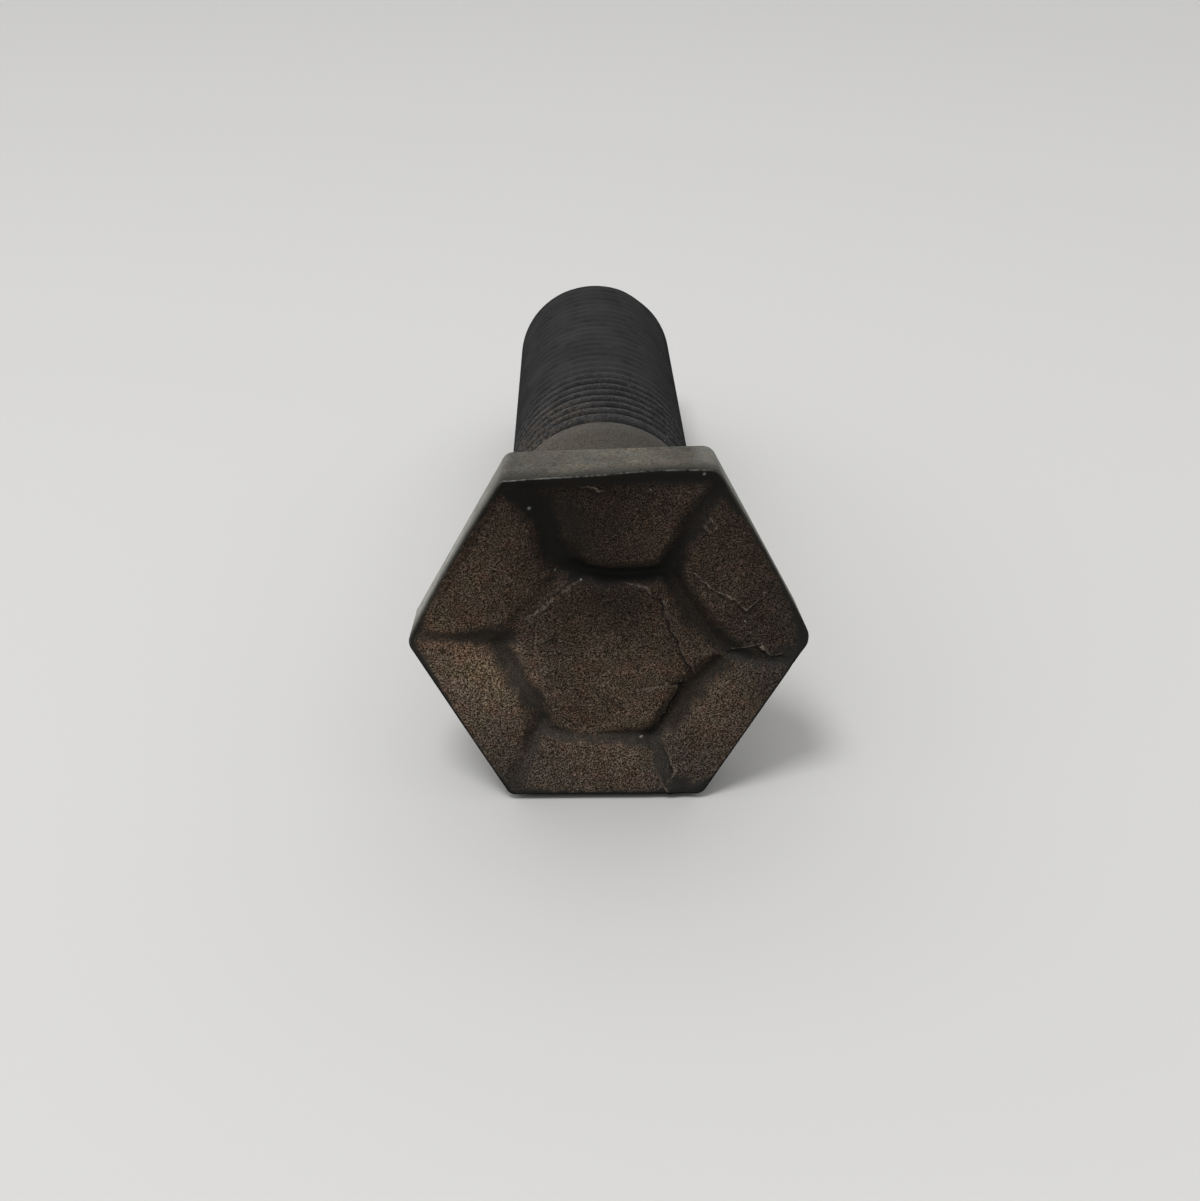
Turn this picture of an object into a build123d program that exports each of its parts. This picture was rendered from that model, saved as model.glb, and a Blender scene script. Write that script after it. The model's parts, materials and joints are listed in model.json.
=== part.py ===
"""Hex head machine bolt, M12 x 1.25 x 50, with a thin forged head that is dished between six pads.

The bolt is one piece of steel. It lies as it comes to rest on a level surface: on the lower back edge
of its head and on the edge of its end chamfer, so the shank slopes down a little towards the end.
World axes: +Z up, the head faces -Y, the shank runs towards +Y. Lengths are in millimetres.
The bolt's own axes: x to the right, y up across the head, z out of the head's face, with z = 0 on the
bearing face under the head, so the shank runs from z = 0 down to z = -bolt_length.
"""

from build123d import *
import os
from math import asin, atan2, cos, hypot, radians, sin

# Shank: a plain neck, then the threaded length, whose thread stands at its full outside diameter
neck_diameter = 12.0
neck_length = 14.7
neck_fillet = 0.6
thread_diameter = 11.9
bolt_length = 50.0
end_chamfer = 1.5

# Head
across_flats = 19.0
head_height = 4.0
head_corner_radius = 0.6
head_edge_radius = 0.2
head_face_bevel = 0.2

# Dish in the head's face, struck a little off centre, inside a narrow flat rim with a low lip
rim_width = 0.55
rim_lip = 0.1
dish_depth = 1.25
dish_wall_run = 4.05
dish_shift = (0.2, -0.9)

# Six pads on the dish's walls, the grooves between them, and the raised floor in the middle
groove_width = 0.9
pad_height = 0.42
pad_bevel = 0.32
pad_corner_radius = 1.1
pad_edge_radius = 0.6
floor_rise = 0.15
floor_corner_radius = 0.8

SIDES = 6

# Lying pose: the slope at which the head's rounded back edge and the chamfer's edge both touch down
thread_radius = thread_diameter / 2
edge_centre = across_flats / 2 - head_edge_radius
edge_drop = edge_centre - thread_radius
edge_reach = bolt_length - end_chamfer + head_edge_radius
tilt = atan2(edge_drop, edge_reach) + asin(head_edge_radius / hypot(edge_drop, edge_reach))

# The bearing face's centre stands so high, and the bolt's length along Y is centred on the origin
bearing_height = edge_centre * cos(tilt) + head_edge_radius * (1 - sin(tilt))
front_reach = (across_flats / 2 - head_face_bevel) * sin(tilt) + head_height * cos(tilt)
back_reach = bolt_length * cos(tilt) + (thread_radius - end_chamfer) * sin(tilt)
bearing_plane = Plane(
    origin=(0, (front_reach - back_reach) / 2, bearing_height),
    x_dir=(1, 0, 0),
    z_dir=(0, -cos(tilt), sin(tilt)),
)
bolt_axis = Axis(bearing_plane.origin, bearing_plane.z_dir)
face_plane = bearing_plane.offset(head_height)
wall_top_plane = face_plane.offset(-(rim_lip + pad_height))
dish_floor_plane = face_plane.offset(-dish_depth)
dish_across_flats = across_flats - 2 * rim_width
dish_floor_across_flats = dish_across_flats - 2 * dish_wall_run


def hexagon_corner(level, index, across, shift=(0, 0)):
    """World position of a corner of a hexagon drawn on a level of the head, counted from the right."""
    angle = radians(index * 360 / SIDES)
    corner_reach = across / 2 / cos(radians(180 / SIDES))
    shift_x, shift_y = shift
    return level.from_local_coords(
        Vector(shift_x + corner_reach * cos(angle), shift_y + corner_reach * sin(angle))
    )


def wall_corners(index):
    """The two corners of a dish wall at the rim, and the two at the floor."""
    ends = (index, index + 1)
    upper = [hexagon_corner(wall_top_plane, end, dish_across_flats) for end in ends]
    lower = [
        hexagon_corner(dish_floor_plane, end, dish_floor_across_flats, dish_shift) for end in ends
    ]
    return upper, lower


def pad_outline(upper, lower):
    """The wall's outline, run on to the middle of the rim so that the pad grows out of it."""
    beyond = groove_width / 2 + (rim_width + pad_bevel) / 2
    rooted = [top + (top - foot).normalized() * beyond for top, foot in zip(upper, lower)]
    return [*rooted, *reversed(lower)]


# Pads: on each wall a block with bevelled sides and a rounded top
with BuildPart() as pads:
    for side in range(SIDES):
        upper, lower = wall_corners(side)
        along = upper[0] - upper[1]
        wall_plane = Plane(upper[0], x_dir=along, z_dir=along.cross(upper[0] - lower[0]))
        outline = [wall_plane.to_local_coords(point) for point in pad_outline(upper, lower)]
        for height, inset in ((0, 0), (pad_height, pad_bevel)):
            with BuildSketch(wall_plane.offset(height)) as level:
                with BuildLine():
                    Polyline(*outline, close=True)
                make_face()
                offset(amount=-(groove_width / 2 + inset))
                fillet(level.vertices(), pad_corner_radius - inset)
        loft(ruled=True)
        crown = pads.faces(Select.LAST).sort_by(Axis(wall_plane.origin, wall_plane.z_dir))[-1]
        fillet(crown.edges(), pad_edge_radius)

with BuildPart() as hex_bolt:
    # Head blank
    with BuildSketch(bearing_plane) as blank:
        RegularPolygon(across_flats / 2, SIDES, major_radius=False)
        fillet(blank.vertices(), head_corner_radius)
    extrude(amount=head_height)
    head_ends = hex_bolt.faces().sort_by(bolt_axis)
    fillet(head_ends[0].edges(), head_edge_radius)
    chamfer(head_ends[-1].edges(), head_face_bevel)

    # Dish: a straight step inside the rim, then six sloping walls down to the floor
    with BuildSketch(face_plane):
        RegularPolygon(dish_across_flats / 2, SIDES, major_radius=False)
    extrude(amount=-(rim_lip + pad_height), mode=Mode.SUBTRACT)
    with BuildSketch(wall_top_plane):
        RegularPolygon(dish_across_flats / 2, SIDES, major_radius=False)
    with BuildSketch(dish_floor_plane):
        with Locations(dish_shift):
            RegularPolygon(dish_floor_across_flats / 2, SIDES, major_radius=False)
    loft(ruled=True, mode=Mode.SUBTRACT)
    add(pads.part)

    # Raised floor between the pads
    with BuildSketch(dish_floor_plane) as floor:
        with Locations(dish_shift):
            RegularPolygon(
                (dish_floor_across_flats - groove_width) / 2, SIDES, major_radius=False
            )
        fillet(floor.vertices(), floor_corner_radius)
    extrude(amount=floor_rise)

    # Shank
    with BuildSketch(bearing_plane):
        Circle(neck_diameter / 2)
    extrude(amount=-neck_length)
    with BuildSketch(bearing_plane.offset(-neck_length)):
        Circle(thread_radius)
    extrude(amount=neck_length - bolt_length)
    chamfer(hex_bolt.faces().sort_by(bolt_axis)[0].edges(), end_chamfer)
    bearing_edges = hex_bolt.edges().filter_by(GeomType.CIRCLE)
    neck_root = bearing_edges.filter_by(lambda edge: abs(edge.radius - neck_diameter / 2) < 1e-6)
    fillet(neck_root.sort_by(bolt_axis)[-1], neck_fillet)

hex_bolt.part.label = "hex_bolt"
os.makedirs("parts", exist_ok=True)
export_step(hex_bolt.part, "parts/hex_bolt.step")
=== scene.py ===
"""Hex head bolt with a cold-forged dished head, lying on a pale studio floor."""

import json
from math import cos, pi, radians, sin, tan

import bpy
import numpy as np
from bpy.props import FloatProperty, FloatVectorProperty, IntProperty, PointerProperty
from mathutils import Matrix, Vector, noise


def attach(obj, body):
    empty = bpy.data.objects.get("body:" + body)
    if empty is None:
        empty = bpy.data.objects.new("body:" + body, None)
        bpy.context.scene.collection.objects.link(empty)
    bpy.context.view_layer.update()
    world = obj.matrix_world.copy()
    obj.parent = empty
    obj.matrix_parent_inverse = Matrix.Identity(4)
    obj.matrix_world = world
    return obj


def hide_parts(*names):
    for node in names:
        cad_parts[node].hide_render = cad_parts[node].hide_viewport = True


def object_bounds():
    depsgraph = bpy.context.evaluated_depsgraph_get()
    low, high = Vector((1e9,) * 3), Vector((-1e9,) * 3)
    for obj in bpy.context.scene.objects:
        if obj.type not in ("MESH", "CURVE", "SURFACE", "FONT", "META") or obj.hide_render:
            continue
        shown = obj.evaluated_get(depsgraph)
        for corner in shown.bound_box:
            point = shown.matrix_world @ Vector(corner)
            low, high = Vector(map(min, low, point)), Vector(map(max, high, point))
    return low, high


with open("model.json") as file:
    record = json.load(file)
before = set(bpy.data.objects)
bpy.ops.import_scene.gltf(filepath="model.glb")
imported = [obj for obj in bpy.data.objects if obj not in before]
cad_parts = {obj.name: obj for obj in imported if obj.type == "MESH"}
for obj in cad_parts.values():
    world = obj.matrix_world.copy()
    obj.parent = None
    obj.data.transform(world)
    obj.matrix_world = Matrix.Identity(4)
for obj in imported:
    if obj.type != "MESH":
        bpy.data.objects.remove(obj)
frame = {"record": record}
CAD_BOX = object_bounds()

bl_info = {
    "name": "Forged Hex Bolt",
    "version": (1, 0, 0),
    "blender": (4, 5, 0),
    "location": "3D View > Sidebar > Bolt",
    "description": "Models a hex head bolt with a dished forged head and its studio",
    "category": "Add Mesh",
}

MM = 0.001

# Slack for telling one level from another, in metres.
SLACK = 1e-7

# The hexagon: its sides, the angle from one corner to the next, and the way each side faces.
SIDES = 6
SIXTH = pi / 3
FACINGS = np.radians(np.arange(30, 390, 60))

# The plain blank: the steps of a quarter round, the rows down the flats and along the neck, the
# most cuts made in one go, and the flat ring beside each rounding under the head.
QUARTER_ROUND = [radians(a) for a in (22.5, 45, 67.5, 90)]
FLAT_ROWS = 12
NECK_ROWS = 8
MOST_CUTS = 80
MARGIN = 0.1 * MM

# Face detail, in millimetres from the middle of the head: x to the right, y up.
# The inner corners of the six pads, anticlockwise from the right.
PAD_CORNERS = [(6.3, -1.4), (3.4, 3.4), (-2.3, 3.7), (-5.8, -0.5), (-3.8, -5.6), (2.7, -6.3)]

# Valleys between the pads, black partly as smooth dark scale and partly as painted shade, each a
# path of x, y, half width, depth, how black and how smooth.
# The path on the top pad's left cuts nothing: it is painted shadow under the upper rim.
VALLEYS = {
    "upper left spoke": [
        (-5.1, 8.6, 0.6, 0.1, 0.95, 1.0), (-4.3, 8.2, 1.2, 0.35, 0.95, 1.0),
        (-3.6, 7.7, 1.3, 0.5, 0.98, 1.0), (-3.3, 6.7, 0.95, 0.55, 0.98, 1.0),
        (-3.1, 5.6, 0.9, 0.6, 0.98, 1.0), (-2.45, 4.5, 1.3, 0.6, 0.98, 1.0)],
    "top": [
        (-2.45, 4.3, 1.1, 0.6, 0.98, 1.0), (-1.3, 3.6, 0.9, 0.65, 1.0, 1.0),
        (0.0, 3.35, 0.75, 0.65, 1.0, 1.0), (1.0, 3.3, 0.75, 0.65, 1.0, 1.0),
        (2.2, 3.4, 0.8, 0.65, 1.0, 1.0), (3.2, 3.5, 0.9, 0.6, 0.98, 1.0)],
    "upper right spoke": [
        (5.7, 8.4, 0.5, 0.1, 0.95, 1.0), (4.85, 7.3, 0.8, 0.25, 0.95, 0.8),
        (4.15, 6.1, 0.75, 0.35, 0.97, 0.88), (3.8, 5.2, 0.7, 0.45, 1.0, 0.92),
        (3.45, 4.35, 0.8, 0.55, 1.0, 0.95), (3.2, 3.7, 0.9, 0.55, 0.98, 1.0)],
    "upper right": [
        (3.15, 3.4, 0.9, 0.6, 0.98, 1.0), (3.6, 2.6, 0.8, 0.6, 0.91, 0.85),
        (4.2, 1.6, 0.85, 0.55, 0.88, 0.8), (5.0, 0.5, 0.85, 0.55, 0.88, 0.8),
        (6.0, -0.5, 0.85, 0.5, 0.86, 0.85), (6.7, -1.1, 0.8, 0.45, 0.82, 0.9)],
    "right spoke": [
        (6.7, -1.1, 0.7, 0.45, 0.72, 0.9), (7.9, -1.45, 0.5, 0.4, 0.68, 0.9),
        (9.0, -1.4, 0.6, 0.3, 0.63, 0.8), (10.0, -1.0, 0.8, 0.1, 0.63, 0.8)],
    "lower right": [
        (6.1, -1.9, 0.8, 0.45, 0.75, 0.9), (5.3, -2.6, 0.9, 0.5, 0.77, 0.85),
        (4.35, -3.7, 0.95, 0.55, 0.82, 0.85), (3.65, -4.9, 0.9, 0.55, 0.82, 0.8),
        (3.0, -5.8, 0.7, 0.5, 0.77, 0.8), (2.6, -6.3, 0.7, 0.5, 0.75, 0.8)],
    "lower right spoke": [
        (2.5, -6.4, 0.7, 0.45, 0.75, 0.85), (3.0, -7.6, 0.45, 0.2, 0.45, 0.8),
        (3.4, -8.6, 0.5, 0.12, 0.55, 0.8), (4.3, -9.0, 0.8, 0.1, 0.6, 0.9)],
    "bottom": [
        (-3.6, -5.7, 0.6, 0.3, 0.6, 0.9), (-2.7, -6.05, 0.32, 0.12, 0.5, 0.75),
        (-1.3, -6.3, 0.35, 0.12, 0.45, 0.7), (0.2, -6.35, 0.5, 0.16, 0.6, 0.8),
        (1.85, -6.35, 0.65, 0.28, 0.7, 0.9), (2.55, -6.3, 0.8, 0.45, 0.75, 0.9)],
    "lower left spoke": [
        (-3.75, -5.55, 0.8, 0.4, 0.77, 0.85), (-4.2, -6.4, 0.7, 0.28, 0.68, 0.7),
        (-4.7, -7.45, 0.6, 0.15, 0.55, 0.6), (-5.2, -8.6, 0.8, 0.08, 0.6, 0.7)],
    "lower left": [
        (-6.1, -0.5, 0.8, 0.45, 0.6, 0.9), (-5.5, -1.5, 0.7, 0.45, 0.3, 0.85),
        (-4.75, -3.0, 0.65, 0.42, 0.1, 0.85), (-4.0, -4.3, 0.7, 0.48, 0.35, 0.9),
        (-3.75, -5.3, 0.8, 0.55, 0.7, 0.95)],
    "left spoke": [
        (-10.4, 0.35, 0.3, 0.05, 0.6, 0.7), (-9.4, 0.25, 0.35, 0.1, 0.65, 0.75),
        (-7.8, 0.1, 0.4, 0.18, 0.7, 0.85), (-6.9, 0.0, 0.8, 0.28, 0.65, 0.9),
        (-6.0, -0.1, 1.0, 0.35, 0.65, 0.95), (-5.5, -0.2, 0.9, 0.35, 0.6, 0.9)],
    "top pad, left": [
        (-2.2, 7.5, 1.0, 0.0, 0.91, 0.7), (-1.7, 6.3, 0.9, 0.0, 0.86, 0.6),
        (-1.2, 5.2, 0.8, 0.0, 0.86, 0.5)],
    "upper left": [
        (-2.45, 3.7, 0.9, 0.3, 0.82, 0.8), (-3.4, 2.6, 0.3, 0.05, 0.68, 0.0),
        (-4.5, 1.65, 0.3, 0.05, 0.68, 0.0), (-5.4, 0.3, 0.5, 0.2, 0.68, 0.3),
        (-5.6, -0.3, 0.8, 0.4, 0.68, 0.8)],
}

# Smooth border inside the rim, dark partly as smooth scale and partly as painted shade, widest and
# blackest under the upper rim: angle in degrees, width, how black.
BORDERS = [
    (-180, 0.6, 0.58), (-172, 0.5, 0.58), (-155, 0.2, 0.63), (-128, 0.15, 0.63), (-118, 0.55, 0.68),
    (-100, 0.3, 0.68), (-72, 0.4, 0.68), (-60, 0.9, 0.68), (-54, 0.25, 0.68), (-14, 0.15, 0.68),
    (-6, 0.7, 0.58), (1, 1.0, 0.77), (8, 0.45, 0.77), (16, 0.28, 0.77), (44, 0.28, 0.82),
    (52, 0.7, 0.91), (58, 1.3, 0.95), (70, 1.3, 0.95), (90, 0.9, 0.91), (104, 0.8, 0.91),
    (116, 1.3, 0.95), (126, 0.35, 0.86), (140, 0.25, 0.72), (168, 0.25, 0.68), (176, 0.6, 0.68),
    (180, 0.6, 0.58)]

# Painted light and shade over the face, darker towards the top and lighter on the lower left: x, y,
# tone.
PAINTED_LIGHT_AND_SHADE = [
    (0.0, -2.0, 1.1), (-2.0, -4.5, 1.15), (1.5, -5.0, 1.15), (0.3, 1.9, 0.35), (-3.5, 0.5, 0.75),
    (0.8, 5.2, 0.54), (2.6, 6.0, 0.66), (-1.3, 6.4, 0.38), (0.5, 8.2, 0.2), (-3.0, 8.2, 0.2),
    (-5.2, 6.8, 0.8), (-7.2, 3.0, 1.0), (6.6, 5.0, 0.62), (6.0, 7.4, 0.45), (8.5, 0.6, 0.5),
    (4.3, 0.0, 0.8), (-6.6, -2.5, 3.0), (-9.2, -1.4, 1.5), (-8.2, -4.0, 1.35), (-5.4, -5.6, 1.1),
    (-0.5, -7.2, 1.35), (0.0, -8.9, 1.2), (6.3, -3.6, 1.25), (4.8, -7.0, 0.95), (8.5, -1.8, 0.7)]

# How much the rust is worn off grey: x, y, share.
GREYS = [
    (0.0, -2.0, 0.2), (0.0, 3.0, 0.1), (-6.8, -2.2, 0.0), (-4.8, -5.0, 0.35), (-5.8, -7.2, 0.9),
    (-8.3, -3.9, 0.7), (-5.0, -2.2, 0.5), (0.0, -7.4, 0.2), (-1.0, -9.0, 0.8), (3.0, -8.8, 0.9),
    (6.0, -3.6, 0.2), (7.6, -5.0, 0.6), (9.0, -2.2, 0.9), (-7.0, 4.0, 0.1), (7.0, 4.0, 0.2),
    (9.5, 1.0, 0.5)]

# Bright specks caught on the face: x, y, size.
SPECKS = [
    (-4.1, 7.6, 0.13), (-4.2, 6.4, 0.05), (-2.8, 3.8, 0.03), (-1.5, 3.1, 0.04), (2.1, 8.4, 0.05),
    (4.8, 9.25, 0.08), (1.9, -6.4, 0.05), (7.3, 0.9, 0.03)]

# Thin folds of scale standing proud of the face, each a path of x, y, height and shine, with the
# drop on its right.
# The height also sets the painted shadow at the fold's foot, and the shine the painted highlight on
# its lip.
FOLDS = {
    "floor, left": [
        (-1.5, 3.0, 0.02, 0.2), (-2.0, 2.9, 0.05, 0.3), (-2.85, 2.2, 0.07, 0.4),
        (-3.85, 1.4, 0.08, 0.7), (-4.2, 1.1, 0.06, 0.4), (-4.0, -0.3, 0.06, 0.35),
        (-3.7, -2.0, 0.04, 0.3), (-3.7, -2.6, 0.01, 0.0)],
    "strip": [
        (1.1, 2.8, 0.03, 0.3), (2.0, 2.6, 0.06, 0.4), (2.8, 2.1, 0.12, 0.4), (3.3, 0.55, 0.14, 0.5),
        (4.05, -1.3, 0.14, 0.6), (4.55, -2.1, 0.14, 0.6), (4.8, -2.6, 0.06, 0.3)],
    "floor, low right": [
        (2.4, -5.9, 0.06, 0.2), (2.9, -5.35, 0.12, 0.3), (3.6, -4.0, 0.14, 0.4),
        (3.95, -3.2, 0.12, 0.6), (3.3, -3.0, 0.06, 0.5), (2.4, -3.3, 0.05, 0.4),
        (1.7, -3.45, 0.02, 0.2)],
    "floor, crack": [
        (-1.3, -2.6, 0.02, 0.1), (-0.5, -3.7, 0.06, 0.3), (0.5, -4.2, 0.06, 0.3),
        (0.9, -4.3, 0.02, 0.1)],
    "floor, chip": [(-3.55, -0.4, 0.07, 0.8), (-3.2, -0.2, 0.07, 0.8)],
    "upper right pad": [
        (4.05, 3.9, 0.04, 0.6), (5.1, 3.05, 0.08, 1.0), (6.3, 2.25, 0.09, 1.0),
        (6.9, 1.9, 0.09, 1.0), (7.4, 1.65, 0.09, 0.9), (8.1, 2.4, 0.08, 0.8),
        (8.5, 3.3, 0.04, 0.4)],
    "upper right blister": [
        (4.9, 6.3, 0.03, 0.3), (5.25, 6.6, 0.05, 0.4), (5.6, 6.2, 0.05, 0.4), (5.2, 5.9, 0.03, 0.3),
        (4.9, 6.3, 0.03, 0.3)],
    "top pad": [
        (-1.3, 8.75, 0.04, 0.4), (-0.95, 8.65, 0.06, 0.8), (-0.65, 8.5, 0.06, 0.8),
        (-0.4, 8.5, 0.04, 0.4)],
    "right spoke": [
        (6.9, -1.0, 0.07, 0.6), (7.3, -0.7, 0.1, 1.0), (8.2, -0.4, 0.1, 1.0),
        (8.35, -0.6, 0.1, 1.0), (8.7, -1.0, 0.1, 0.9), (9.4, -0.9, 0.1, 0.8),
        (9.6, -1.05, 0.06, 0.6)],
    "lower right spoke": [(3.25, -7.0, 0.08, 0.5), (3.9, -8.05, 0.1, 0.7), (3.7, -8.5, 0.05, 0.5)],
    "bottom rim": [(3.05, -8.6, 0.06, 0.6), (3.45, -9.4, 0.08, 0.7)],
}

# Height of the rim round the head, over the flat face: angle in degrees, height.
RIM = [
    (-180, -0.2), (-150, -0.1), (-120, -0.05), (-90, 0.0), (-60, 0.08), (-30, 0.0), (0, -0.06),
    (30, -0.12), (60, -0.15), (68, -0.34), (75, -0.4), (84, -0.24), (92, 0.0), (100, 0.13),
    (112, 0.26), (118, 0.42), (122, 0.42), (150, 0.05), (180, -0.2)]

# How far each corner of the hexagon is off its place, anticlockwise from the right: x and y at
# the face, x and y at the back, and its rounding at both, as shares of the corner radius.
CORNERS = [
    (-0.15, 0.0, -0.38, 0.0, 1.7, 2.2), (0.12, 0.13, 0.0, 0.13, 0.9, 1.4),
    (0.0, -0.13, 0.17, -0.13, 0.3, 1.0), (0.18, 0.0, 0.3, 0.0, 1.2, 1.2),
    (-0.06, 0.07, -0.06, 0.0, 1.0, 1.0), (-0.36, 0.05, -0.36, 0.0, 1.0, 1.0)]

# How far each side of the face is bowed out in its middle, anticlockwise from the upper right.
BOWS = [0.12, 0.0, 0.14, 0.0, 0.0, 0.0]

# Painted sheen on the sides of the head, strongest on the upper left, and their painted light and
# shade: angle in degrees, sheen, tone.
SIDE_PAINTED_LIGHT = [
    (-180, 0.5, 0.8), (-174, 0.0, 0.3), (-90, 0.0, 0.25), (-6, 0.0, 0.3), (2, 0.3, 0.7),
    (30, 0.35, 0.9), (52, 0.55, 0.9), (59, 0.35, 0.7), (66, 0.0, 0.75), (80, 0.0, 1.0),
    (112, 0.0, 1.0), (118, 0.05, 0.7), (124, 0.5, 0.9), (150, 0.8, 1.0), (180, 0.85, 0.8)]

# How uneven the feet of the pads, the border, the valleys, the folds and the scale are, each as
# layers of noise: amount, size of its features, seed.
PAD_SWAY = [(0.3, 1.3, 21.0), (0.1, 0.5, 23.0)]
BORDER_SWAY = [(0.12, 0.6, 7.0)]
VALLEY_SWAY = [(0.3, 1.1, 9.0), (0.2, 0.35, 11.0)]
FOLD_SWAY = [(0.2, 0.7, 3.0), (0.12, 0.28, 5.0)]
SCALE_GRAIN = [(1.0, 0.3, 0.0), (0.8, 0.15, 1.0)]
THREAD_SWAY = [(0.3, 1.5, 31.0)]

# How far the painted light and shade and the grey of one spot reach over the face, in millimetres.
PAINTED_LIGHT_REACH = 2.0
GREY_REACH = 1.6

# Shares of the dish's depth: down the pads, and in the step where they meet the floor.
PAD_SHARE = 0.72
STEP_SHARE = 0.08

# Where a fold is drawn, and the height at which the painted shadow at its foot is fully dark, in
# millimetres.
FOLD_REACH = 0.6
TALL_FOLD = 0.12

# The burr along the upper edge of the face, which carries a painted highlight: height and width in
# millimetres, and the angles between which it starts, thickens and ends.
BURR_HEIGHT = 0.05
BURR_WIDTH = 0.1
BURR_STARTS = (55, 62)
BURR_THICKENS = (102, 112)
BURR_ENDS = (119, 122)

# The thread, in turns from the end of the neck: where its first groove rises and fades, where the
# full grooves begin, and where they fill up, all from one value to the other.
FIRST_GROOVE_RISES = (0.0, 0.35)
FIRST_GROOVE_FADES = (0.75, 1.3)
GROOVES_BEGIN = (0.6, 2.2)
GROOVES_FILL = (5.0, 14.0)
FIRST_GROOVE_DEPTH = 0.4
FILLED_SHARE = 0.38

# The look of the shank, in turns too: where its grit thins out and where its dust does.
GRIT_ENDS = (6.0, 11.0)
DUST_STARTS = -9
DUST_ENDS = (3.0, 7.0)

# Tints that a colour is multiplied by, channel by channel, and the colour of the bright specks.
REDDER = (1.16, 0.9, 0.86)
GREENER = (0.9, 1.0, 0.78)
GREYER = (0.82, 0.93, 1.08)
COOLER = (0.8, 0.9, 0.98)
STAINED = (1.1, 0.85, 0.65)
SPECK_COLOUR = (0.4, 0.4, 0.38)

# The stage: the lamp's place from the middle of the face, its width and its power, the camera's
# aim from the same middle in millimetres, the floor's width and how light the backdrop is.
LAMP_PLACE = (-0.0958, -0.1475, 0.4142)
LAMP_WIDTH = 0.14
LAMP_POWER = 0.95
CAMERA_AIM = (-0.475, 0.177, 2.425)
FLOOR_WIDTH = 3.0
BACKDROP = 0.63


def number_property(label, text, value):
    return FloatProperty(name=label, description=text, default=value)


def angle_property(label, text, degrees):
    return FloatProperty(
        name=label, description=text, default=radians(degrees), subtype="ANGLE")


def length_property(label, text, value):
    return FloatProperty(name=label, description=text, default=value, unit="LENGTH")


def colour_property(label, text, value):
    return FloatVectorProperty(
        name=label, description=text, default=value, subtype="COLOR", size=3, min=0, max=1)


class HeadSettings(bpy.types.PropertyGroup):
    """Sizes of the forged head."""

    across_flats: length_property("Across Flats", "Width of the hexagon from flat to flat", 0.019)
    height: length_property("Height", "Thickness of the head", 0.004)
    corner_radius: length_property("Corner Radius", "Rounding of the six upright corners", 0.0006)
    edge_radius: length_property("Edge Radius", "Rounding of the back edge", 0.0002)
    rim_radius: length_property("Rim Radius", "Rounding of the edge round the face", 0.0001)
    dish_depth: length_property("Dish Depth", "How far the middle lies below the rim", 0.0011)
    pad_bulge: number_property(
        "Pad Bulge", "How much the six pads are rounded up, 1 is flat", 1.9)
    rim_drop: length_property("Rim Drop", "Fall just inside the upper rim", 0.00025)
    scale_height: length_property("Scale Height", "Height of the rough forging scale", 0.00002)
    face_cuts: IntProperty(
        name="Face Cuts", description="Cuts across each sixth of the face", default=99)


class ShankSettings(bpy.types.PropertyGroup):
    """Sizes of the shank and its fine thread."""

    neck_diameter: length_property("Neck Diameter", "Plain length under the head", 0.012)
    neck_length: length_property("Neck Length", "From the head to the first thread", 0.0147)
    neck_fillet: length_property("Neck Fillet", "Rounding between the head and the neck", 0.0006)
    thread_diameter: length_property("Thread Diameter", "Over the crests of the thread", 0.0119)
    thread_pitch: length_property("Thread Pitch", "From one crest to the next", 0.00125)
    thread_depth: length_property("Thread Depth", "From the crests to the roots", 0.00074)
    length: length_property("Length", "From under the head to the tip", 0.05)
    end_chamfer: length_property("End Chamfer", "Bevel of the tip", 0.0015)
    sides: IntProperty(name="Sides", description="Faces round the shank", default=120)
    rows_per_pitch: IntProperty(
        name="Rows per Pitch", description="Faces from one crest to the next", default=12)


class FinishSettings(bpy.types.PropertyGroup):
    """Colours of the steel."""

    rust_dark: colour_property("Dark Rust", "Hollows of the rough scale", (0.0145, 0.0082, 0.003))
    rust_light: colour_property("Light Rust", "Tops of the rough scale", (0.203, 0.1455, 0.102))
    # Dark smooth scale, also used for painted shade in the valleys, under the upper rim and at the
    # feet of the folds, and for the dark marks and roots of the thread.
    valley: colour_property("Valleys", "Smooth black valleys between pads", (0.0085, 0.008, 0.0072))
    calm: colour_property("Calm", "Smooth brown-grey steel round the pads", (0.055, 0.048, 0.039))
    # Painted highlight on the lips of the folds, and the bright grains of the rust.
    fold: colour_property("Folds", "Bright lips of scale", (0.24, 0.2, 0.16))
    flats: colour_property("Flats", "Sides of the hexagon", (0.112, 0.101, 0.078))
    # Bright grey of the painted sheen on the flats and the painted highlight on the burr, and of
    # the pale specks on the shank.
    edge: colour_property("Edges", "Bright worn edges", (0.36, 0.36, 0.33))
    neck: colour_property("Neck", "Plain neck", (0.037, 0.0335, 0.0275))
    thread: colour_property("Thread", "Thread", (0.036, 0.036, 0.037))
    dust: colour_property("Dust", "Dust caught in the thread", (0.15, 0.118, 0.088))


class StudioSettings(bpy.types.PropertyGroup):
    """Camera, lamps and floor."""

    lens: number_property("Lens", "Focal length in millimetres", 50.96)
    distance: length_property("Distance", "From the camera to its aim", 0.08949)
    azimuth: angle_property("Azimuth", "Turn of the camera round the bolt", -0.828)
    elevation: angle_property("Elevation", "Height of the camera, as an angle", 28.9)
    roll: angle_property("Roll", "Lean of the camera", -0.325)
    floor: colour_property("Floor", "Pale floor", (0.6, 0.595, 0.585))
    overhead: number_property("Overhead Light", "Strength of the room light from above", 0.79)
    behind: number_property("Light Behind", "Strength of the light low behind the bolt", 1.42)
    beside: number_property("Light Beside", "Strength of the light low on the left", 0.56)


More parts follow.
